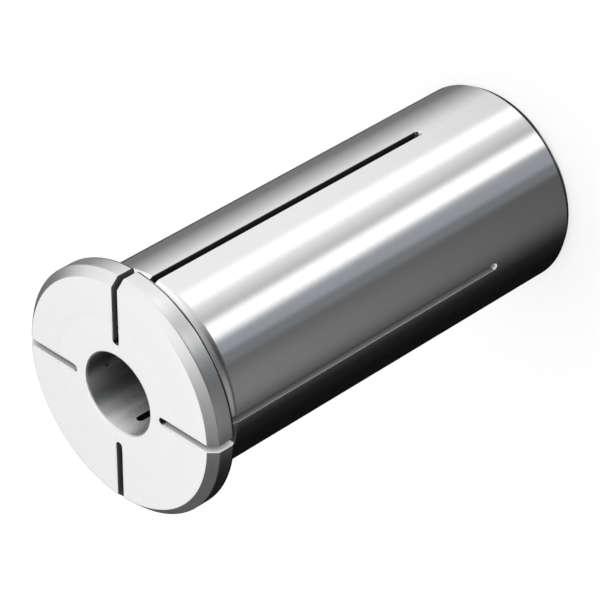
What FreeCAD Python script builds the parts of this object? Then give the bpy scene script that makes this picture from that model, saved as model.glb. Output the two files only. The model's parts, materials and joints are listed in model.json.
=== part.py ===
import FreeCAD, Part
import math
import os

import Sketcher

# Slotted reduction sleeve, turned from one piece of tool steel. It stands on its plain
# back end: the axis is +Z, the origin is the middle of the back face, and the flange
# is uppermost, with the mouth of the tool bore in the middle of its front face.

DOC = FreeCAD.newDocument("collet")

# Driving dimensions, in millimetres, degrees or counts
SIZES = (
    ("overall_length", 48.6, "from the back face to the front face"),
    ("shank_diameter", 20.0, "ground outside that the chuck clamps"),
    ("bore_diameter", 8.0, "ground inside that clamps the tool shank"),
    ("flange_step", 2.0, "how far the flange stands out from the shank"),
    ("flange_thickness", 2.75, "from the front face to the shoulder"),
    ("face_chamfer", 0.8, "chamfer of the flange beside the front face"),
    ("rim_radius", 0.45, "rounded edge of the rim beside the shoulder"),
    ("edge_round", 0.15, "rounding on both edges of the flange's chamfer"),
    ("neck_length", 2.1, "grinding relief between shoulder and shank"),
    ("neck_depth", 0.2, "how far the relief lies under the shank"),
    ("neck_runout", 0.4, "length of the cone that ends the relief"),
    ("end_chamfer_length", 0.7, "lead-in chamfer of the back end, along the axis"),
    ("end_chamfer_angle", 30.0, "lead-in chamfer against the axis, in degrees"),
    ("mouth_radius", 0.24, "rounded edge where the tool goes in"),
    ("bore_end_chamfer", 0.5, "broken edge of the bore at the back face"),
    ("slot_width", 0.68, "width of each slit"),
    ("slot_count", 4, "slits, evenly spaced round the axis"),
    ("slot_end_land", 10.4, "unslit length left at the back end"),
    ("seal_wall", 1.3, "ring left whole round the mouth, across its wall"),
    ("seal_depth", 2.3, "ring left whole round the mouth, along the axis"),
    ("cutter_overrun", 1.0, "how far the face slits run past the rim"),
)


def make_sheet():
    """Spreadsheet with one driving dimension on each row: its note, value and alias."""
    sheet = DOC.addObject("Spreadsheet::Sheet", "sizes")
    for row, (alias, value, note) in enumerate(SIZES, start=1):
        sheet.set(f"A{row}", note)
        sheet.set(f"B{row}", str(value))
        sheet.setAlias(f"B{row}", alias)
    DOC.recompute()
    return sheet


def origin_part(body, role):
    """Origin plane or axis of a body, by its role."""
    return next(item for item in body.Origin.OriginFeatures if item.Role == role)


def add_sketch(body, name, plane):
    """Empty sketch on one of the body's own origin planes."""
    sketch = body.newObject("Sketcher::SketchObject", name)
    sketch.AttachmentSupport = [(origin_part(body, plane), "")]
    sketch.MapMode = "FlatFace"
    return sketch


def turn_between_slits(sketch, axis):
    """Turn a sketch about the sleeve, so that the seams of its round faces miss the slits."""
    turn = FreeCAD.Rotation(axis, 45)
    sketch.AttachmentOffset = FreeCAD.Placement(FreeCAD.Vector(), turn)
    sketch.setExpression("AttachmentOffset.Rotation.Angle", "180 / sizes.slot_count")


def constrain(sketch, *constraints):
    """Constraints with no value, each given as the arguments of Sketcher.Constraint."""
    for constraint in constraints:
        sketch.addConstraint(Sketcher.Constraint(*constraint))


def dimension(sketch, name, expression, *constraint):
    """Named dimension that follows an expression of the sheet."""
    index = sketch.addConstraint(Sketcher.Constraint(*constraint))
    sketch.renameConstraint(index, name)
    sketch.setExpression(f"Constraints.{name}", expression)


def edge_at(feature, radius, height):
    """Name of the circular edge with this radius at this height on the axis."""
    for number, edge in enumerate(feature.Shape.Edges, start=1):
        curve = edge.Curve
        if not isinstance(curve, Part.Circle):
            continue
        same_radius = math.isclose(curve.Radius, radius, abs_tol=1e-4)
        if same_radius and math.isclose(curve.Center.z, height, abs_tol=1e-4):
            return f"Edge{number}"
    raise ValueError(f"no edge of radius {radius} at height {height} on {feature.Name}")


# Ends of a line or an arc, and the fixed geometry of a sketch, as a constraint names them
START, END, CENTRE = range(1, 4)
H_AXIS, V_AXIS = range(-1, -3, -1)
ORIGIN = (H_AXIS, START)


def add_blank(body, sheet):
    """Outside of the sleeve: shank, relief neck and flange, revolved about Z."""
    sketch = add_sketch(body, "outside_profile", "XZ_Plane")
    turn_between_slits(sketch, FreeCAD.Vector(0, 1, 0))
    shank = sheet.shank_diameter / 2
    neck = shank - sheet.neck_depth
    rim = shank + sheet.flange_step
    top = sheet.overall_length
    shoulder = top - sheet.flange_thickness
    neck_start = shoulder - sheet.neck_length
    corners = [
        (0, 0),
        (shank, 0),
        (shank, neck_start),
        (neck, neck_start + sheet.neck_runout),
        (neck, shoulder),
        (rim, shoulder),
        (rim, top),
        (0, top),
    ]
    points = [FreeCAD.Vector(x, y, 0) for x, y in corners]
    for near, far in zip(points, points[1:] + points[:1]):
        sketch.addGeometry(Part.LineSegment(near, far), False)
    back, side, runout, waist, step, edge, face, axis = range(len(corners))
    for line in range(len(corners)):
        constrain(sketch, ("Coincident", line, END, (line + 1) % len(corners), START))
    constrain(
        sketch,
        ("Coincident", back, START, *ORIGIN),
        ("Horizontal", back),
        ("Vertical", side),
        ("Vertical", waist),
        ("Horizontal", step),
        ("Vertical", edge),
        ("Horizontal", face),
        ("Vertical", axis),
    )
    dimension(sketch, "shank_radius", "sizes.shank_diameter / 2",
              "DistanceX", back, START, back, END, shank)
    dimension(sketch, "neck_step", "sizes.neck_depth",
              "DistanceX", runout, END, runout, START, shank - neck)
    dimension(sketch, "flange_overhang", "sizes.neck_depth + sizes.flange_step",
              "DistanceX", step, START, step, END, rim - neck)
    dimension(sketch, "length", "sizes.overall_length",
              "DistanceY", axis, END, axis, START, top)
    dimension(sketch, "flange", "sizes.flange_thickness",
              "DistanceY", edge, START, edge, END, top - shoulder)
    dimension(sketch, "neck", "sizes.neck_length",
              "DistanceY", runout, START, waist, END, shoulder - neck_start)
    dimension(sketch, "cone", "sizes.neck_runout",
              "DistanceY", runout, START, runout, END, sheet.neck_runout)

    blank = body.newObject("PartDesign::Revolution", "turned_blank")
    blank.Profile = sketch
    blank.ReferenceAxis = (sketch, ["V_Axis"])
    blank.Angle = 360
    DOC.recompute()
    return blank


def add_bore(body, sheet):
    """Tool bore, straight through along the axis."""
    sketch = add_sketch(body, "bore_circle", "XY_Plane")
    turn_between_slits(sketch, FreeCAD.Vector(0, 0, 1))
    circle = Part.Circle(FreeCAD.Vector(), FreeCAD.Vector(0, 0, 1), sheet.bore_diameter / 2)
    sketch.addGeometry(circle, False)
    constrain(sketch, ("Coincident", 0, CENTRE, *ORIGIN))
    dimension(sketch, "bore", "sizes.bore_diameter", "Diameter", 0, sheet.bore_diameter)

    bore = body.newObject("PartDesign::Pocket", "tool_bore")
    bore.Profile = sketch
    bore.Type = "ThroughAll"
    bore.Reversed = True
    DOC.recompute()
    return bore


def add_chamfer(body, base, name, edge, sizes, kind="Equal distance", flip=False):
    """Chamfer of one edge of a feature, with each of its sizes bound to the sheet."""
    chamfer = body.newObject("PartDesign::Chamfer", name)
    chamfer.Base = (base, [edge])
    chamfer.ChamferType = kind
    chamfer.FlipDirection = flip
    for size, expression in sizes.items():
        chamfer.setExpression(size, expression)
    DOC.recompute()
    return chamfer


def add_round(body, base, name, edges, expression):
    """Fillet of some edges of a feature, with its radius bound to the sheet."""
    fillet = body.newObject("PartDesign::Fillet", name)
    fillet.Base = (base, edges)
    fillet.setExpression("Radius", expression)
    DOC.recompute()
    return fillet


def break_edges(body, bore, sheet):
    """Chamfers of the flange, the back end and the bore, and the rounded edges."""
    shank = sheet.shank_diameter / 2
    hole = sheet.bore_diameter / 2
    rim = shank + sheet.flange_step
    top = sheet.overall_length

    feature = add_chamfer(
        body, bore, "face_chamfer", edge_at(bore, rim, top), {"Size": "sizes.face_chamfer"})
    feature = add_chamfer(
        body, feature, "back_end_chamfer", edge_at(feature, shank, 0),
        {"Size": "sizes.end_chamfer_length", "Angle": "sizes.end_chamfer_angle"},
        "Distance and Angle", True)
    feature = add_chamfer(
        body, feature, "bore_back_chamfer", edge_at(feature, hole, 0),
        {"Size": "sizes.bore_end_chamfer"})
    chamfer_edges = [
        edge_at(feature, rim, top - sheet.face_chamfer),
        edge_at(feature, rim - sheet.face_chamfer, top),
    ]
    feature = add_round(body, feature, "chamfer_round", chamfer_edges, "sizes.edge_round")
    shoulder_edge = edge_at(feature, rim, top - sheet.flange_thickness)
    feature = add_round(body, feature, "rim_back_round", [shoulder_edge], "sizes.rim_radius")
    mouth_edge = edge_at(feature, hole, top)
    return add_round(body, feature, "bore_mouth_round", [mouth_edge], "sizes.mouth_radius")


def add_side_slit(body, sheet):
    """One slit through the wall, round at both ends, from the ring to the back land."""
    sketch = add_sketch(body, "side_slit_profile", "YZ_Plane")
    half = sheet.slot_width / 2
    low = sheet.slot_end_land + half
    high = sheet.overall_length - sheet.seal_depth - half
    normal = FreeCAD.Vector(0, 0, 1)
    upper = Part.Circle(FreeCAD.Vector(0, high, 0), normal, half)
    lower = Part.Circle(FreeCAD.Vector(0, low, 0), normal, half)
    corners = [
        FreeCAD.Vector(-half, low, 0),
        FreeCAD.Vector(-half, high, 0),
        FreeCAD.Vector(half, high, 0),
        FreeCAD.Vector(half, low, 0),
    ]
    left = sketch.addGeometry(Part.LineSegment(corners[0], corners[1]), False)
    front_end = sketch.addGeometry(Part.ArcOfCircle(upper, 0, math.pi), False)
    right = sketch.addGeometry(Part.LineSegment(corners[2], corners[3]), False)
    back_end = sketch.addGeometry(Part.ArcOfCircle(lower, math.pi, 2 * math.pi), False)
    constrain(
        sketch,
        ("Tangent", left, END, front_end, END),
        ("Tangent", front_end, START, right, START),
        ("Tangent", right, END, back_end, END),
        ("Tangent", back_end, START, left, START),
        ("PointOnObject", front_end, CENTRE, V_AXIS),
        ("PointOnObject", back_end, CENTRE, V_AXIS),
        ("Vertical", left),
    )
    dimension(sketch, "half_width", "sizes.slot_width / 2", "Radius", front_end, half)
    dimension(sketch, "back_centre", "sizes.slot_end_land + sizes.slot_width / 2",
              "DistanceY", *ORIGIN, back_end, CENTRE, low)
    dimension(sketch, "front_centre",
              "sizes.overall_length - sizes.seal_depth - sizes.slot_width / 2",
              "DistanceY", *ORIGIN, front_end, CENTRE, high)

    slit = body.newObject("PartDesign::Pocket", "side_slit")
    slit.Profile = sketch
    slit.Type = "ThroughAll"
    slit.Reversed = True
    DOC.recompute()
    return slit


def add_face_slit(body, sheet):
    """One slit across the front face, from the ring out past the rim, down to the side slit."""
    sketch = add_sketch(body, "face_slit_profile", "XY_Plane")
    sketch.setExpression("AttachmentOffset.Base.z", "sizes.overall_length")
    half = sheet.slot_width / 2
    inner = sheet.bore_diameter / 2 + sheet.seal_wall + half
    outer = sheet.shank_diameter / 2 + sheet.flange_step + sheet.cutter_overrun
    circle = Part.Circle(FreeCAD.Vector(inner, 0, 0), FreeCAD.Vector(0, 0, 1), half)
    corners = [
        FreeCAD.Vector(inner, -half, 0),
        FreeCAD.Vector(outer, -half, 0),
        FreeCAD.Vector(outer, half, 0),
        FreeCAD.Vector(inner, half, 0),
    ]
    round_end = sketch.addGeometry(Part.ArcOfCircle(circle, math.pi / 2, 3 * math.pi / 2), False)
    near = sketch.addGeometry(Part.LineSegment(corners[0], corners[1]), False)
    across = sketch.addGeometry(Part.LineSegment(corners[1], corners[2]), False)
    far = sketch.addGeometry(Part.LineSegment(corners[2], corners[3]), False)
    constrain(
        sketch,
        ("Tangent", round_end, END, near, START),
        ("Coincident", near, END, across, START),
        ("Coincident", across, END, far, START),
        ("Tangent", far, END, round_end, START),
        ("Horizontal", near),
        ("Horizontal", far),
        ("Vertical", across),
        ("PointOnObject", round_end, CENTRE, H_AXIS),
    )
    dimension(sketch, "half_width", "sizes.slot_width / 2", "Radius", round_end, half)
    dimension(sketch, "inner_centre",
              "sizes.bore_diameter / 2 + sizes.seal_wall + sizes.slot_width / 2",
              "DistanceX", *ORIGIN, round_end, CENTRE, inner)
    dimension(sketch, "outer_end",
              "sizes.shank_diameter / 2 + sizes.flange_step + sizes.cutter_overrun",
              "DistanceX", *ORIGIN, near, END, outer)

    slit = body.newObject("PartDesign::Pocket", "face_slit")
    slit.Profile = sketch
    slit.Type = "Length"
    slit.setExpression("Length", "sizes.seal_depth + sizes.slot_width / 2")
    DOC.recompute()
    return slit


def repeat_slits(body, slits):
    """The slits at even angles round the axis."""
    ring = body.newObject("PartDesign::PolarPattern", "slit_pattern")
    ring.Originals = slits
    ring.Axis = (origin_part(body, "Z_Axis"), [""])
    ring.Angle = 360
    ring.setExpression("Occurrences", "sizes.slot_count")
    body.Tip = ring
    DOC.recompute()
    return ring


def check_lighter(before, after):
    """A cut that points away from the solid removes nothing, so its volume is compared."""
    if not after.Shape.Volume < before.Shape.Volume:
        raise RuntimeError(f"{after.Name} removed nothing")


def make_sleeve(sheet):
    """The sleeve: turned, bored, edges broken, then slit."""
    body = DOC.addObject("PartDesign::Body", "collet_sleeve")
    body.Label = "collet_sleeve"
    body.Placement = FreeCAD.Placement()
    blank = add_blank(body, sheet)
    bore = add_bore(body, sheet)
    check_lighter(blank, bore)
    mouth = break_edges(body, bore, sheet)
    check_lighter(bore, mouth)
    side_slit = add_side_slit(body, sheet)
    check_lighter(mouth, side_slit)
    face_slit = add_face_slit(body, sheet)
    check_lighter(side_slit, face_slit)
    check_lighter(face_slit, repeat_slits(body, [side_slit, face_slit]))
    return body


def check_document():
    """Stop if any object failed to build."""
    for item in DOC.Objects:
        if "Invalid" in item.State or "Error" in item.State:
            raise RuntimeError(f"{item.Name} is {item.State}")


def export(body):
    """Write the body's solid, under its label."""
    shape = body.Shape
    if shape.isNull() or not shape.isValid():
        raise RuntimeError(f"{body.Label} has no valid shape")
    os.makedirs("parts", exist_ok=True)
    shape.exportStep(f"parts/{body.Label}.step")
    print(body.Label, "solids", len(shape.Solids), "volume", round(shape.Volume, 3))


sleeve = make_sleeve(make_sheet())
DOC.recompute()
check_document()
export(sleeve)
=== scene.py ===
import json
from math import atan, cos, hypot, pi, radians, sin, tan

import bpy
from mathutils import Matrix, Vector


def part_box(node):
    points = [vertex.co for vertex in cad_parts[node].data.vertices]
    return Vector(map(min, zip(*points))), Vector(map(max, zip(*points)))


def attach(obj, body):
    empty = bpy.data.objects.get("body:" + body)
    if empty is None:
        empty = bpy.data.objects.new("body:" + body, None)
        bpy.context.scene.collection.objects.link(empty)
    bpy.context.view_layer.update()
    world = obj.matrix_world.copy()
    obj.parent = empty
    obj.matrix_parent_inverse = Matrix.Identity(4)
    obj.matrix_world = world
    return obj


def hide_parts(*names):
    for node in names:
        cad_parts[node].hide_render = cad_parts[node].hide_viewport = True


# A straight slit reduction sleeve, standing on its plain back end with the flange uppermost.
# The sleeve is modelled as it is made: turned in one setting, then slit by a thin cutter.

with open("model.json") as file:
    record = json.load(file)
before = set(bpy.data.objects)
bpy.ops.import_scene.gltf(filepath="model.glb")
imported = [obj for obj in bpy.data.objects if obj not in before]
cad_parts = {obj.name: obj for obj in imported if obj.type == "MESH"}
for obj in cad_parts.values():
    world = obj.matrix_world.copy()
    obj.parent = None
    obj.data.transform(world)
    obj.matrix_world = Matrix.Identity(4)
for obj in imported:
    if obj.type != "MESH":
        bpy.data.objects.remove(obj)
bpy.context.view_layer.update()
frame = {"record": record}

MM = 0.001

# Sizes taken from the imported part
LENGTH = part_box("collet_sleeve")[1].z
MOUNTS = {mount["name"]: mount["dims"] for mount in frame["record"]["mounts"] if mount["dims"]}
SHANK = MOUNTS["shank"]["r_mm"] * MM
BORE = MOUNTS["tool_bore"]["r_mm"] * MM

# Sizes of the turned form
FLANGE_STEP = 2.0 * MM
FLANGE_THICKNESS = 2.75 * MM
FACE_CHAMFER = 0.8 * MM
RIM_ROUND = 0.45 * MM
EDGE_ROUND = 0.15 * MM
NECK_LENGTH = 2.1 * MM
NECK_DEPTH = 0.2 * MM
NECK_RUNOUT = 0.4 * MM
LEAD_IN_LENGTH = 0.7 * MM
LEAD_IN_ANGLE = radians(30)
MOUTH_ROUND = 0.24 * MM
BORE_BACK_CHAMFER = 0.5 * MM
SOFT_EDGE = 0.05 * MM

# Sizes of the slits, which lie on +X, +Y, -X and -Y
SLIT_COUNT = 4
SLIT_WIDTH = 0.68 * MM
SLIT_BACK_LAND = 10.4 * MM
SEAL_WALL = 1.3 * MM
SEAL_DEPTH = 2.3 * MM
SLIT_EDGE = 0.07 * MM
CUTTER_OVERRUN = 1.0 * MM

RIM = SHANK + FLANGE_STEP
NECK = SHANK - NECK_DEPTH
SHOULDER = LENGTH - FLANGE_THICKNESS
NECK_START = SHOULDER - NECK_LENGTH

# Facets of the turned form: no seam between two of them falls on a slit's rounded edge
TURN_STEPS = 144
BROAD_ROUND_STEPS = 8
CHAMFER_ROUND_STEPS = 4
FINE_ROUND_STEPS = 3
SIDE_SLIT_END_STEPS = 16
FACE_SLIT_END_STEPS = 13

# How near two points have to be to count as one
SPUN_APART = 0.001 * MM
ROUNDED_APART = 0.0005 * MM
CUT_APART = 0.003 * MM
BROKEN_APART = 0.004 * MM

# How far a place may lie off a surface and still be on it
OFF_RING = 0.004 * MM
OFF_SLIT_EDGE = SOFT_EDGE / 10
OFF_SLIT_WALL = SLIT_EDGE / 10
OFF_UNSLIT_SKIN = SLIT_EDGE / 20

# Angles between faces: where a slit breaks through the skin, and where shading stays sharp
BREAKTHROUGH_ANGLE = radians(50)
SHARP_ANGLE = radians(35)
BROAD_FACE_WEIGHT = 100


def deselect_objects():
    """Nothing stays selected, so that an operator acts on the new piece alone."""
    bpy.ops.object.select_all(action="DESELECT")


def edit(piece, mode="VERT"):
    """Open a piece in edit mode with nothing selected."""
    deselect_objects()
    piece.select_set(True)
    bpy.context.view_layer.objects.active = piece
    bpy.ops.object.mode_set(mode="EDIT")
    bpy.ops.mesh.select_mode(type=mode)
    bpy.ops.mesh.select_all(action="DESELECT")


def leave_edit():
    """Back to object mode."""
    bpy.ops.object.mode_set(mode="OBJECT")


def pick_edges(piece, wanted):
    """Select the edges of a piece, open in edit mode, whose two ends pass a test."""
    leave_edit()
    mesh = piece.data
    for edge in mesh.edges:
        ends = [mesh.vertices[index].co for index in edge.vertices]
        edge.select = wanted(*ends)
    bpy.ops.object.mode_set(mode="EDIT")


def ring_test(radius, height):
    """Test for the edges of the turned ring with this radius at this height."""
    def on_ring(*ends):
        return all(
            abs(hypot(end.x, end.y) - radius) < OFF_RING and abs(end.z - height) < OFF_RING
            for end in ends)

    return on_ring


def draw_outline(name, corners):
    """A closed outline in the XZ plane, extruded corner by corner from one point."""
    bpy.ops.mesh.primitive_plane_add(size=MM, location=(0, 0, 0))
    outline = bpy.context.active_object
    outline.name = outline.data.name = name
    edit(outline)
    bpy.ops.mesh.select_all(action="SELECT")
    bpy.ops.mesh.merge(type="CENTER")
    points = [Vector((across, 0, up)) for across, up in corners]
    bpy.ops.transform.translate(value=points[0])
    for here, there in zip(points, points[1:]):
        bpy.ops.mesh.extrude_vertices_move(
            TRANSFORM_OT_translate={"value": there - here})
    bpy.ops.mesh.select_all(action="DESELECT")
    leave_edit()
    for index in (0, len(points) - 1):
        outline.data.vertices[index].select = True
    bpy.ops.object.mode_set(mode="EDIT")
    bpy.ops.mesh.edge_face_add()
    leave_edit()
    return outline


def turned_sleeve():
    """The sleeve as it leaves the lathe: outline spun about the axis, edges rounded."""
    lead_in = LEAD_IN_LENGTH * tan(LEAD_IN_ANGLE)
    sleeve = draw_outline("reduction_sleeve", [
        (BORE + BORE_BACK_CHAMFER, 0),
        (SHANK - lead_in, 0),
        (SHANK, LEAD_IN_LENGTH),
        (SHANK, NECK_START),
        (NECK, NECK_START + NECK_RUNOUT),
        (NECK, SHOULDER),
        (RIM, SHOULDER),
        (RIM, LENGTH - FACE_CHAMFER),
        (RIM - FACE_CHAMFER, LENGTH),
        (BORE, LENGTH),
        (BORE, BORE_BACK_CHAMFER),
    ])
    edit(sleeve)
    bpy.ops.mesh.select_all(action="SELECT")
    bpy.ops.mesh.spin(
        steps=TURN_STEPS, angle=2 * pi, use_auto_merge=True, center=(0, 0, 0), axis=(0, 0, 1))
    bpy.ops.mesh.select_all(action="SELECT")
    bpy.ops.mesh.remove_doubles(threshold=SPUN_APART)
    bpy.ops.mesh.normals_make_consistent(inside=False)
    bpy.ops.transform.rotate(
        value=pi / TURN_STEPS, orient_axis="Z", center_override=(0, 0, 0))
    # Each ring's radius and height, then its round, how far the outline turns there, and steps
    rounds = (
        (RIM, SHOULDER, RIM_ROUND, pi / 2, BROAD_ROUND_STEPS),
        (RIM, LENGTH - FACE_CHAMFER, EDGE_ROUND, pi / 4, CHAMFER_ROUND_STEPS),
        (RIM - FACE_CHAMFER, LENGTH, EDGE_ROUND, pi / 4, CHAMFER_ROUND_STEPS),
        (BORE, LENGTH, MOUTH_ROUND, pi / 2, BROAD_ROUND_STEPS),
        (SHANK, LEAD_IN_LENGTH, SOFT_EDGE, LEAD_IN_ANGLE, FINE_ROUND_STEPS),
        (SHANK - lead_in, 0, SOFT_EDGE, pi / 2 - LEAD_IN_ANGLE, FINE_ROUND_STEPS),
        (SHANK, NECK_START, SOFT_EDGE, atan(NECK_DEPTH / NECK_RUNOUT), FINE_ROUND_STEPS),
    )
    for radius, height, fillet, turn, steps in rounds:
        bpy.ops.mesh.select_mode(type="EDGE")
        bpy.ops.mesh.select_all(action="DESELECT")
        pick_edges(sleeve, ring_test(radius, height))
        bpy.ops.mesh.bevel(
            offset=fillet * tan(turn / 2), segments=steps, affect="EDGES", profile=0.5)
    leave_edit()
    return sleeve


def box_piece(name, low, high):
    """A block between two corners, with its place in its mesh."""
    bpy.ops.mesh.primitive_cube_add(size=1, location=(0, 0, 0))
    block = bpy.context.active_object
    block.name = block.data.name = name
    edit(block)
    bpy.ops.mesh.select_all(action="SELECT")
    bpy.ops.transform.resize(value=high - low)
    bpy.ops.transform.translate(value=(low + high) / 2)
    leave_edit()
    return block


def round_edges(piece, wanted, radius, steps):
    """Round the edges that pass a test."""
    edit(piece, "EDGE")
    pick_edges(piece, wanted)
    bpy.ops.mesh.bevel(offset=radius, segments=steps, affect="EDGES", clamp_overlap=False)
    bpy.ops.mesh.select_all(action="SELECT")
    bpy.ops.mesh.remove_doubles(threshold=ROUNDED_APART)
    bpy.ops.mesh.normals_make_consistent(inside=False)
    leave_edit()


def side_cutter():
    """The cutter's sweep through the wall on two opposite sides, round at both ends."""
    half = SLIT_WIDTH / 2
    reach = RIM + CUTTER_OVERRUN
    cutter = box_piece(
        "side_cutter",
        Vector((-reach, -half, SLIT_BACK_LAND)),
        Vector((reach, half, LENGTH - SEAL_DEPTH)))

    def across_the_sleeve(a, b):
        return abs(a.x - b.x) > reach

    round_edges(cutter, across_the_sleeve, half, SIDE_SLIT_END_STEPS)
    return cutter


def face_cutter():
    """The cutter's sweep across the front face, from the ring round the mouth outwards.

    Its floor lies in the side slit, half way down the neck, where no edge is close to it.
    """
    half = SLIT_WIDTH / 2
    inner = BORE + SEAL_WALL
    cutter = box_piece(
        "face_cutter",
        Vector((inner, -half, SHOULDER - NECK_LENGTH / 2)),
        Vector((RIM + CUTTER_OVERRUN, half, LENGTH + CUTTER_OVERRUN)))

    def at_the_inner_end(a, b):
        return max(a.x, b.x) < inner + SOFT_EDGE and abs(a.z - b.z) > half

    round_edges(cutter, at_the_inner_end, half, FACE_SLIT_END_STEPS)
    return cutter


def turned_copy(cutter, angle):
    """A copy of a cutter, turned about the sleeve's axis."""
    deselect_objects()
    copy = cutter.copy()
    copy.data = cutter.data.copy()
    bpy.context.collection.objects.link(copy)
    edit(copy)
    bpy.ops.mesh.select_all(action="SELECT")
    bpy.ops.transform.rotate(value=angle, orient_axis="Z", center_override=(0, 0, 0))
    leave_edit()
    return copy


def cut(piece, cutter):
    """Take a cutter's sweep out of a piece, and put the cutter away."""
    deselect_objects()
    piece.select_set(True)
    bpy.context.view_layer.objects.active = piece
    difference = piece.modifiers.new("slit", "BOOLEAN")
    difference.operation = "DIFFERENCE"
    difference.solver = "EXACT"
    difference.object = cutter
    bpy.ops.object.modifier_apply(modifier=difference.name)
    bpy.data.objects.remove(cutter)
    edit(piece)
    bpy.ops.mesh.select_all(action="SELECT")
    bpy.ops.mesh.remove_doubles(threshold=CUT_APART)
    bpy.ops.mesh.dissolve_degenerate(threshold=CUT_APART)
    leave_edit()


def whole_copy(piece):
    """A copy of the sleeve as it is, kept aside."""
    deselect_objects()
    copy = piece.copy()
    copy.data = piece.data.copy()
    copy.name = copy.data.name = "unslit_sleeve"
    bpy.context.collection.objects.link(copy)
    return copy


def slit_sleeve(piece):
    """The slits across the front face, and those through the wall that meet them."""
    side = side_cutter()
    face = face_cutter()
    step = 2 * pi / SLIT_COUNT
    cutters = [turned_copy(face, turn * step) for turn in range(SLIT_COUNT)]
    cutters += [turned_copy(side, turn * step) for turn in range(SLIT_COUNT // 2)]
    for cutter in cutters:
        cut(piece, cutter)
    for spare in (side, face):
        bpy.data.objects.remove(spare)


def break_slit_edges(piece):
    """A fine round where a slit breaks through the outside, the front face or the bore."""
    near = SLIT_WIDTH / 2 + OFF_SLIT_EDGE

    def on_the_skin(place):
        radius = hypot(place.x, place.y)
        in_the_bore = radius < BORE + SOFT_EDGE
        return in_the_bore or radius > NECK - SOFT_EDGE or place.z > LENGTH - SOFT_EDGE

    edit(piece, "EDGE")
    bpy.ops.mesh.edges_select_sharp(sharpness=BREAKTHROUGH_ANGLE)
    leave_edit()
    mesh = piece.data
    for edge in mesh.edges:
        ends = [mesh.vertices[index].co for index in edge.vertices]
        beside_a_slit = all(
            min(abs(end.x), abs(end.y)) < near and on_the_skin(end) for end in ends)
        edge.select = edge.select and beside_a_slit
    bpy.ops.object.mode_set(mode="EDIT")
    bpy.ops.mesh.bevel(
        offset=SLIT_EDGE, segments=FINE_ROUND_STEPS, affect="EDGES", clamp_overlap=False,
        loop_slide=False)
    bpy.ops.mesh.select_all(action="SELECT")
    bpy.ops.mesh.remove_doubles(threshold=BROKEN_APART)
    bpy.ops.mesh.dissolve_degenerate(threshold=BROKEN_APART)
    leave_edit()


def finish_mesh(piece):
    """Sharp corners stay sharp, and broad faces rule the shading of the fine rounds."""
    deselect_objects()
    piece.select_set(True)
    bpy.context.view_layer.objects.active = piece
    bpy.ops.object.shade_smooth_by_angle(angle=SHARP_ANGLE)
    weighted = piece.modifiers.new("broad_faces", "WEIGHTED_NORMAL")
    weighted.keep_sharp = True
    weighted.weight = BROAD_FACE_WEIGHT
    bpy.ops.object.modifier_apply(modifier=weighted.name)


def shade_as_unslit(piece, unslit):
    """Beside the slits, the skin keeps the shading that it had before they were cut."""
    on_skin = piece.vertex_groups.new(name="skin_beside_slits")
    for vertex in piece.data.vertices:
        place = vertex.co
        beside_a_slit = min(abs(place.x), abs(place.y)) < 2 * SLIT_WIDTH
        off_corner = hypot(hypot(place.x, place.y) - NECK, place.z - SHOULDER)
        if beside_a_slit and off_corner > SOFT_EDGE:
            spot = unslit.closest_point_on_mesh(place)[1]
            if (spot - place).length < OFF_UNSLIT_SKIN:
                on_skin.add([vertex.index], 1.0, "REPLACE")
    deselect_objects()
    piece.select_set(True)
    bpy.context.view_layer.objects.active = piece
    shading = piece.modifiers.new("unslit_shading", "DATA_TRANSFER")
    shading.object = unslit
    shading.use_loop_data = True
    shading.data_types_loops = {"CUSTOM_NORMAL"}
    shading.loop_mapping = "POLYINTERP_NEAREST"
    shading.vertex_group = on_skin.name
    bpy.ops.object.modifier_apply(modifier=shading.name)
    piece.vertex_groups.clear()
    bpy.data.objects.remove(unslit)


# Finishes, each a material of its own on the one piece of steel; the bore, the slit walls and the
# slit edge rounds also carry painted shade
STEEL = (0.86, 0.862, 0.866)
# Darker steel colour for the slit edge rounds: a painted shade that dims their highlight
SHADED_EDGE_STEEL = (0.56, 0.562, 0.565)

# Tool marks: how deep they are, how far they wander round the axis, and the noise's usual range
GROOVE = 0.0003 * MM
MARK_WANDER = 0.35
MARK_LOW = 0.3
MARK_HIGH = 0.7
# Samples of the ambient occlusion that paints shade deeper in bores and slits
PAINTED_SHADE_SAMPLES = 12


def new_material(name):
    """A material with nodes: the material itself, its tree and its shader."""
    material = bpy.data.materials.new(name)
    material.use_nodes = True
    return material, material.node_tree, material.node_tree.nodes["Principled BSDF"]


def node(tree, kind, name, inputs=(), **settings):
    """A node with its settings, and its inputs given as values or as sockets to link."""
    made = tree.nodes.new(kind)
    made.name = made.label = name
    for setting, value in settings.items():
        setattr(made, setting, value)
    for socket, value in dict(inputs).items():
        if isinstance(value, bpy.types.NodeSocket):
            tree.links.new(value, made.inputs[socket])
        else:
            made.inputs[socket].default_value = value
    return made


def new_group(name, inputs, outputs):
    """A shader node group: its tree, the sockets it reads and the node that it ends in."""
    tree = bpy.data.node_groups.new(name, "ShaderNodeTree")
    for socket, kind, value in inputs:
        made = tree.interface.new_socket(socket, in_out="INPUT", socket_type=kind)
        made.default_value = value
    for socket, kind in outputs:
        tree.interface.new_socket(socket, in_out="OUTPUT", socket_type=kind)
    return tree, tree.nodes.new("NodeGroupInput"), tree.nodes.new("NodeGroupOutput")


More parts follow.
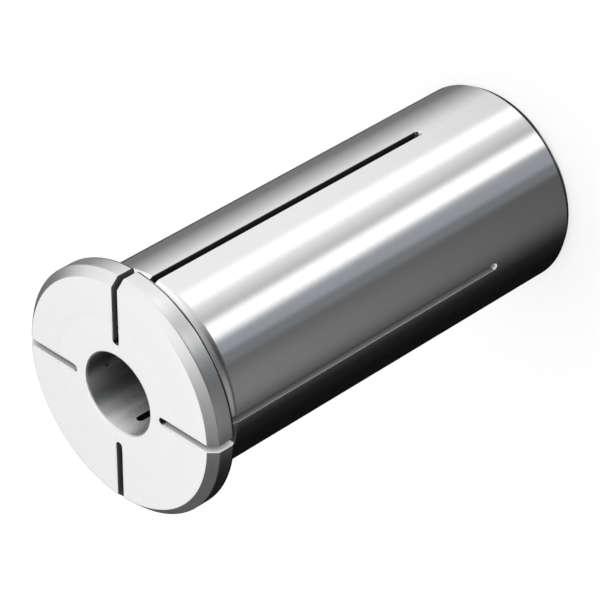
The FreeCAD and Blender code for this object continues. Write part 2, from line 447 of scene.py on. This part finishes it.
def tool_marks_group():
    """Fine lines left round the axis by a lathe tool or a grinding wheel.

    Across is 0 where the lines follow one another along the axis, as on the shank, and 1 where
    they follow one another outwards, as on a face.
    """
    tree, given, out = new_group(
        "tool_marks",
        [("Across", "NodeSocketFloat", 0.0),
         ("Pitch", "NodeSocketFloat", 0.1),
         ("Wander", "NodeSocketFloat", 0.1)],
        [("Height", "NodeSocketFloat"), ("Tone", "NodeSocketFloat")])
    place = node(tree, "ShaderNodeTexCoord", "place").outputs["Object"]
    parts = node(tree, "ShaderNodeSeparateXYZ", "axes", {"Vector": place})
    flat = node(tree, "ShaderNodeCombineXYZ", "flat",
                {"X": parts.outputs["X"], "Y": parts.outputs["Y"]})
    radius = node(tree, "ShaderNodeVectorMath", "radius", {0: flat.outputs["Vector"]},
                  operation="LENGTH").outputs["Value"]
    along = node(tree, "ShaderNodeMix", "along", {
        "Factor": given.outputs["Across"], "A": parts.outputs["Z"], "B": radius}).outputs["Result"]
    round_part = node(tree, "ShaderNodeVectorMath", "round_part",
                      {0: flat.outputs["Vector"]}, operation="NORMALIZE").outputs["Vector"]
    wander = node(tree, "ShaderNodeVectorMath", "wander", {
        0: round_part, "Scale": given.outputs["Wander"]}, operation="SCALE").outputs["Vector"]
    per_pitch = node(tree, "ShaderNodeMath", "per_pitch", {
        0: along, 1: given.outputs["Pitch"]}, operation="DIVIDE").outputs["Value"]
    line = node(tree, "ShaderNodeCombineXYZ", "line", {"Z": per_pitch}).outputs["Vector"]
    spot = node(tree, "ShaderNodeVectorMath", "spot", {0: wander, 1: line},
                operation="ADD").outputs["Vector"]
    fine = node(tree, "ShaderNodeTexNoise", "fine", {
        "Vector": spot, "Scale": 1.0, "Detail": 4.0, "Roughness": 0.65}).outputs["Fac"]
    broad = node(tree, "ShaderNodeTexNoise", "broad", {
        "Vector": spot, "Scale": 0.13, "Detail": 2.0, "Roughness": 0.5}).outputs["Fac"]
    tree.links.new(fine, out.inputs["Height"])
    tree.links.new(broad, out.inputs["Tone"])
    return tree


MARKS = tool_marks_group()


def steel(name, colour, roughness, pitch, across=0.0, depth=0.0, spread=0.03, shade=0.03,
          drawn_out=0.0, painted_hollow_shade=None):
    """Bare steel with tool marks: spread is how far the roughness varies, shade the colour.

    Drawn out is how far the marks stretch a reflection along the axis.

    The painted shade argument is for the walls of a bore or a slit: ambient occlusion paints their
    colour darker deeper in, given as the power that it darkens by and a gain for how light the
    colour stays at the mouth.
    """
    material, tree, shader = new_material(name)
    marks = node(tree, "ShaderNodeGroup", "marks", node_tree=MARKS)
    marks.inputs["Across"].default_value = across
    marks.inputs["Pitch"].default_value = pitch
    marks.inputs["Wander"].default_value = MARK_WANDER
    rough = node(tree, "ShaderNodeMapRange", "rough", {
        "Value": marks.outputs["Tone"], "From Min": MARK_LOW, "From Max": MARK_HIGH,
        "To Min": roughness - spread, "To Max": roughness + spread}).outputs["Result"]
    tint = node(tree, "ShaderNodeMapRange", "tint", {
        "Value": marks.outputs["Height"], "From Min": MARK_LOW, "From Max": MARK_HIGH,
        "To Min": 1.0 - shade, "To Max": 1.0}).outputs["Result"]
    # Painted shade: ambient occlusion darkens the colour deeper in a bore or a slit, clamped to
    # full colour near the mouth
    if painted_hollow_shade:
        fall, mouth = painted_hollow_shade
        open_part = node(tree, "ShaderNodeAmbientOcclusion", "open_part", {
            "Distance": LENGTH}, samples=PAINTED_SHADE_SAMPLES, only_local=True).outputs["AO"]
        painted_shade = node(tree, "ShaderNodeMath", "painted_shade", {
            0: open_part, 1: fall}, operation="POWER").outputs["Value"]
        painted_shade = node(tree, "ShaderNodeMath", "from_the_mouth", {
            0: painted_shade, 1: mouth}, operation="MULTIPLY", use_clamp=True).outputs["Value"]
        tint = node(tree, "ShaderNodeMath", "tint_inwards", {
            0: tint, 1: painted_shade}, operation="MULTIPLY").outputs["Value"]
    base = node(tree, "ShaderNodeVectorMath", "base", {
        0: colour, "Scale": tint}, operation="SCALE").outputs["Vector"]
    grooves = node(tree, "ShaderNodeBump", "grooves", {
        "Height": marks.outputs["Height"], "Distance": depth, "Strength": 1.0}).outputs["Normal"]
    tree.links.new(base, shader.inputs["Base Color"])
    tree.links.new(rough, shader.inputs["Roughness"])
    tree.links.new(grooves, shader.inputs["Normal"])
    shader.inputs["Metallic"].default_value = 1.0
    if drawn_out:
        around = node(tree, "ShaderNodeTangent", "around", direction_type="RADIAL", axis="Z")
        tree.links.new(around.outputs["Tangent"], shader.inputs["Tangent"])
        shader.inputs["Anisotropic"].default_value = drawn_out
        shader.inputs["Anisotropic Rotation"].default_value = 0.25
    return material


def shade_steel(piece):
    """Give each face the finish of the operation that made it, with painted shade deeper in the
    bore and the slits, the slit walls split by place into copies of lighter and darker painted
    shade, and the slit edge rounds painted darker.
    """
    finishes = {
        "ground": steel("ground_shank", STEEL, 0.13, 0.12 * MM, depth=GROOVE, spread=0.02),
        "rim": steel("turned_rim", STEEL, 0.30, 0.10 * MM, depth=GROOVE),
        # The slit edge rounds are painted darker, a painted shade that dims their highlight
        "broken": steel("shaded_broken_slit_edge", SHADED_EDGE_STEEL, 0.30, 0.12 * MM, depth=GROOVE),
        "chamfer": steel("turned_chamfer", STEEL, 0.34, 0.10 * MM, depth=GROOVE),
        "faced": steel("faced_end", STEEL, 0.34, 0.12 * MM, across=1.0, depth=GROOVE),
        # The bore and the slit walls carry painted shade that darkens their colour deeper in
        "honed": steel("honed_bore", STEEL, 0.40, 0.10 * MM, depth=GROOVE, drawn_out=0.8,
                       painted_hollow_shade=(1.6, 2.6)),
        # The slit walls are one cut steel in copies of lighter and darker painted shade: lighter at
        # the round slit ends and on the face slits, darker at the face slits' inner ends
        "sawn": steel("sawn_wall", STEEL, 0.15, 0.2 * MM, depth=GROOVE, painted_hollow_shade=(1.2, 0.48)),
        "slit_end": steel("round_slit_end", STEEL, 0.20, 0.2 * MM, depth=GROOVE, painted_hollow_shade=(2.2, 4.0)),
        "lightly_shaded": steel("lightly_shaded_face_slit", STEEL, 0.15, 0.2 * MM, depth=GROOVE, painted_hollow_shade=(1.3, 1.7)),
        "blind": steel("face_slit_end", STEEL, 0.15, 0.2 * MM, depth=GROOVE, painted_hollow_shade=(1.9, 0.25)),
    }
    order = list(finishes)
    mesh = piece.data
    mesh.materials.clear()
    for material in finishes.values():
        mesh.materials.append(material)
    for face in mesh.polygons:
        face.material_index = order.index(finish_at(face.center, face.normal))


# How far a normal turns to count: off the radius in a slit or on its round, up, or along the axis
SIDEWAYS = 0.5
TURNED_AWAY = 0.2
UPWARDS = 0.5
END_ON = 0.9


def slit_wall_finish(radius, height):
    """Name of the finish inside a slit, at this radius and height: these differ only in painted
    shade, lighter at the round end of the side slits and on the outer face slits, darker at the
    face slits' inner ends.
    """
    if height < SLIT_BACK_LAND + SLIT_WIDTH / 2:
        return "slit_end"
    if height < SHOULDER:
        return "sawn"
    return "lightly_shaded" if radius > BORE + SEAL_WALL + SLIT_WIDTH / 2 else "blind"


def finish_at(place, normal):
    """Name of the finish on a face of the sleeve, by its place and the way that it looks."""
    radius = hypot(place.x, place.y)
    off_middle = min(abs(place.x), abs(place.y))
    away = abs(normal.x * place.y - normal.y * place.x) / radius
    in_the_wall = BORE + SEAL_WALL / 2 < radius < SHANK - SEAL_WALL
    on_front_face = normal.z >= UPWARDS and place.z >= LENGTH - SOFT_EDGE
    if off_middle < SLIT_WIDTH / 2 + OFF_SLIT_WALL and (away > SIDEWAYS or in_the_wall):
        if not on_front_face:
            return slit_wall_finish(radius, place.z)
    if radius < BORE + SOFT_EDGE:
        return "honed"
    on_edge_round = off_middle < SLIT_WIDTH / 2 + SLIT_EDGE and away > TURNED_AWAY
    along_the_slit = SLIT_BACK_LAND + SLIT_WIDTH / 2 < place.z < NECK_START
    # The rounds along the side slits get the darker painted colour
    if on_edge_round and along_the_slit:
        return "broken"
    if abs(normal.z) > END_ON:
        return "faced"
    in_rim_round = place.z < SHOULDER + RIM_ROUND and radius > RIM - RIM_ROUND
    if place.z < NECK_START + SOFT_EDGE or in_rim_round:
        return "ground"
    if place.z < LENGTH - FACE_CHAMFER:
        return "rim"
    return "chamfer"


def grey(level):
    """A colour with no hue."""
    return (level, level, level)


# Studio: panels of soft light and dark screens all round, as the metal mirrors them
# Each has its bearing, half width and soft edge in degrees and its lean, then its lower and
# upper edge and their softness in degrees, and last its colour. A later one covers an earlier.
PANELS = (
    ("low_glow", 180, 34, 24, 0, -14, 70, 12, grey(0.10)),
    ("under_back", -150, 16, 20, 0, -46, -18, 14, grey(0.012)),
    ("under_side", -93, 41, 44, 0, -43, -20, 16, (0.145, 0.145, 0.146)),
    ("under_glow", -103, 17, 24, 0, -35, -14, 12, grey(0.25)),
    ("behind_rim", -110, 36, 30, 0, 6, 18, 8, grey(0.24)),
    ("rim_glow", -103, 22, 24, 0, -26, -10, 8, grey(0.42)),
    ("under_far", 98, 28, 26, 0, -48, -6, 24, grey(0.20)),
    ("under_end", 130, 14, 16, 0, -38, 8, 16, grey(0.03)),
    ("shoulder", 52, 42, 50, 0, 6, 60, 36, grey(0.94)),
    ("upper_side", -104, 40, 30, 0, 34, 90, 20, grey(0.36)),
    ("upper_wall", 2, 65, 70, 0, 26, 90, 36, grey(1.10)),
    ("wall", 22, 46.5, 56, 0, -44, 36, 16, grey(0.98)),
    ("wall_rise", 34, 34, 24, 0, -25, -6, 8, grey(1.30)),
    ("blue_edge", -66, 8, 4, 0, -46, -26, 10, (0.19, 0.205, 0.217)),
    ("blue_step", -54, 8.6, 4, 0, -46, -26, 10, (0.333, 0.352, 0.378)),
    ("strip_near", -34.7, 9.4, 10, -0.8, -46, -30, 8, grey(1.35)),
    ("strip_far", 5.9, 8.4, 11, -0.8, -46, -29, 8, grey(1.35)),
    ("over_face", 132, 38, 20, 0, 24, 90, 24, grey(1.31)),
    ("ceiling", 0, 180, 10, 0, 70, 100, 12, grey(1.15)),
    ("below", 0, 190, 10, 0, -100, -58, 10, grey(0.024)),
    ("low_side", 63, 15, 12, 0, -76, -56, 6, grey(0.90)),
    ("low_back", 135, 14, 12, 0, -74, -56, 6, grey(0.70)),
)
DARK = grey(0.006)
WHITE = (*grey(1.0), 1)
PLAIN_LEVEL = 0.8


def panel_group():
    """How much of a panel shows in a direction: 1 inside it, 0 outside, soft at its edges.

    Lean is how far its bearing moves for each degree upwards from its middle height.
    """
    tree, given, out = new_group(
        "studio_panel",
        [("Direction", "NodeSocketVector", (0, 0, 0)),
         ("Bearing", "NodeSocketFloat", 0.0),
         ("Half Width", "NodeSocketFloat", 30.0),
         ("Side Edge", "NodeSocketFloat", 5.0),
         ("Lean", "NodeSocketFloat", 0.0),
         ("Low", "NodeSocketFloat", 0.0),
         ("High", "NodeSocketFloat", 30.0),
         ("End Edge", "NodeSocketFloat", 5.0)],
        [("Mask", "NodeSocketFloat")])
    axes = node(tree, "ShaderNodeSeparateXYZ", "axes", {"Vector": given.outputs["Direction"]})

    def math(name, operation, first, second=0.0, third=0.0):
        return node(tree, "ShaderNodeMath", name, {0: first, 1: second, 2: third},
                    operation=operation).outputs["Value"]

    def soft_step(name, value, low, high):
        return node(tree, "ShaderNodeMapRange", name, {
            "Value": value, "From Min": low, "From Max": high},
            interpolation_type="SMOOTHSTEP").outputs["Result"]

    bearing = math("bearing", "ARCTAN2", axes.outputs["Y"], axes.outputs["X"])
    height = math("height", "ARCSINE", axes.outputs["Z"])
    bearing = math("bearing_degrees", "DEGREES", bearing)
    height = math("height_degrees", "DEGREES", height)
    ends = math("ends", "ADD", given.outputs["Low"], given.outputs["High"])
    rise = math("rise", "SUBTRACT", height, math("middle", "MULTIPLY", ends, 0.5))
    leant = math("leant", "MULTIPLY_ADD", rise, given.outputs["Lean"], given.outputs["Bearing"])
    off = math("off", "SUBTRACT", bearing, leant)
    off = math("off_wrapped", "WRAP", off, -180.0, 180.0)
    off = math("off_either_way", "ABSOLUTE", off)
    half_edge = math("half_side_edge", "MULTIPLY", given.outputs["Side Edge"], 0.5)
    side_in = math("side_in", "SUBTRACT", given.outputs["Half Width"], half_edge)
    side_out = math("side_out", "ADD", given.outputs["Half Width"], half_edge)
    across = math("across", "SUBTRACT", 1.0, soft_step("side", off, side_in, side_out))
    half_end = math("half_end_edge", "MULTIPLY", given.outputs["End Edge"], 0.5)
    low_out = math("low_out", "SUBTRACT", given.outputs["Low"], half_end)
    low_in = math("low_in", "ADD", given.outputs["Low"], half_end)
    high_in = math("high_in", "SUBTRACT", given.outputs["High"], half_end)
    high_out = math("high_out", "ADD", given.outputs["High"], half_end)
    above = soft_step("above", height, low_out, low_in)
    below = math("below", "SUBTRACT", 1.0, soft_step("high", height, high_in, high_out))
    upright = math("upright", "MULTIPLY", above, below)
    tree.links.new(math("mask", "MULTIPLY", across, upright), out.inputs["Mask"])
    return tree


def light_studio():
    """World: white to the camera, panels to the metal, and a plain level for the floor."""
    world = bpy.data.worlds.new("studio")
    bpy.context.scene.world = world
    world.use_nodes = True
    world.cycles.sampling_method = "NONE"
    tree = world.node_tree
    tree.nodes.clear()
    direction = node(tree, "ShaderNodeTexCoord", "direction").outputs["Generated"]
    group = panel_group()
    colour = node(tree, "ShaderNodeRGB", "dark")
    colour.outputs["Color"].default_value = (*DARK, 1)
    colour = colour.outputs["Color"]
    for name, bearing, half, side_edge, lean, low, high, end_edge, level in PANELS:
        mask = node(tree, "ShaderNodeGroup", name, node_tree=group)
        values = {"Bearing": bearing, "Half Width": half, "Side Edge": side_edge,
                  "Lean": lean, "Low": low, "High": high, "End Edge": end_edge}
        for socket, value in values.items():
            mask.inputs[socket].default_value = value
        tree.links.new(direction, mask.inputs["Direction"])
        mix = node(tree, "ShaderNodeMix", name + "_over", {
            "Factor": mask.outputs["Mask"]}, data_type="RGBA")
        tree.links.new(colour, mix.inputs["A"])
        mix.inputs["B"].default_value = (*level, 1)
        colour = mix.outputs["Result"]
    rays = node(tree, "ShaderNodeLightPath", "rays")
    mirrored = node(tree, "ShaderNodeMath", "mirrored", {
        0: rays.outputs["Is Glossy Ray"], 1: rays.outputs["Is Transmission Ray"]},
        operation="MAXIMUM").outputs["Value"]
    plain = node(tree, "ShaderNodeBackground", "plain", {"Color": WHITE, "Strength": PLAIN_LEVEL})
    white = node(tree, "ShaderNodeBackground", "white", {"Color": WHITE, "Strength": 1.0})
    studio = node(tree, "ShaderNodeBackground", "panels", {"Color": colour, "Strength": 1.0})
    lit = node(tree, "ShaderNodeMixShader", "to_the_metal", {0: mirrored})
    tree.links.new(plain.outputs[0], lit.inputs[1])
    tree.links.new(studio.outputs[0], lit.inputs[2])
    seen = node(tree, "ShaderNodeMixShader", "to_the_camera", {0: rays.outputs["Is Camera Ray"]})
    tree.links.new(lit.outputs[0], seen.inputs[1])
    tree.links.new(white.outputs[0], seen.inputs[2])
    end = node(tree, "ShaderNodeOutputWorld", "world_output")
    tree.links.new(seen.outputs[0], end.inputs["Surface"])


# The floor's size in metres, its paint, and the glow that lifts it to white for the camera
FLOOR_SIZE = 6.0
FLOOR_PAINT = 0.5
FLOOR_LIFT = 0.64


def lay_floor():
    """Pale floor that keeps the sleeve's shadow and shows white to the camera."""
    bpy.ops.mesh.primitive_plane_add(size=FLOOR_SIZE, location=(0, 0, 0))
    floor = bpy.context.active_object
    floor.name = "floor"
    material, tree, shader = new_material("pale_floor")
    tree.nodes.remove(shader)
    paint = node(tree, "ShaderNodeBsdfDiffuse", "paint", {"Color": (*grey(FLOOR_PAINT), 1)})
    rays = node(tree, "ShaderNodeLightPath", "rays")
    lift = node(tree, "ShaderNodeMath", "lift", {
        0: rays.outputs["Is Camera Ray"], 1: FLOOR_LIFT}, operation="MULTIPLY")
    glow = node(tree, "ShaderNodeEmission", "glow", {"Strength": lift.outputs["Value"]})
    both = node(tree, "ShaderNodeAddShader", "both")
    tree.links.new(paint.outputs[0], both.inputs[0])
    tree.links.new(glow.outputs[0], both.inputs[1])
    tree.links.new(both.outputs[0], tree.nodes["Material Output"].inputs["Surface"])
    floor.data.materials.append(material)
    floor.visible_glossy = False


# Camera, as the photograph sees the sleeve: aimed at a point of the axis and rolled
AIM_HEIGHT = 26.58 * MM
AIM_SIDE = Vector((-0.561, -0.556, 0)) * MM
CAMERA_DISTANCE = 318.63 * MM
CAMERA_BEARING = radians(-45.224)
CAMERA_HEIGHT = radians(35.647)
CAMERA_ROLL = radians(-119.879)
CAMERA_LENS = 210.57
CAMERA_SENSOR = 36.0
CAMERA_NEAR = 10 * MM


def place_camera():
    """A long lens above the flange, rolled until the sleeve lies across the picture."""
    towards = Vector((
        cos(CAMERA_HEIGHT) * cos(CAMERA_BEARING),
        cos(CAMERA_HEIGHT) * sin(CAMERA_BEARING),
        sin(CAMERA_HEIGHT)))
    lens = bpy.data.cameras.new("camera")
    lens.lens = CAMERA_LENS
    lens.sensor_width = CAMERA_SENSOR
    lens.clip_start = CAMERA_NEAR
    camera = bpy.data.objects.new("camera", lens)
    bpy.context.collection.objects.link(camera)
    upright = towards.to_track_quat("Z", "Y").to_matrix()
    turned = (upright @ Matrix.Rotation(CAMERA_ROLL, 3, "Z")).to_4x4()
    aim = AIM_SIDE + Vector((0, 0, AIM_HEIGHT))
    camera.matrix_world = Matrix.Translation(aim + towards * CAMERA_DISTANCE) @ turned
    bpy.context.scene.camera = camera


sleeve = turned_sleeve()
unslit_sleeve = whole_copy(sleeve)
finish_mesh(unslit_sleeve)
slit_sleeve(sleeve)
break_slit_edges(sleeve)
finish_mesh(sleeve)
shade_as_unslit(sleeve, unslit_sleeve)
shade_steel(sleeve)
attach(sleeve, "root")
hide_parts("collet_sleeve")
sleeve.visible_glossy = False

light_studio()
lay_floor()
place_camera()
bpy.context.scene.view_settings.view_transform = "Standard"
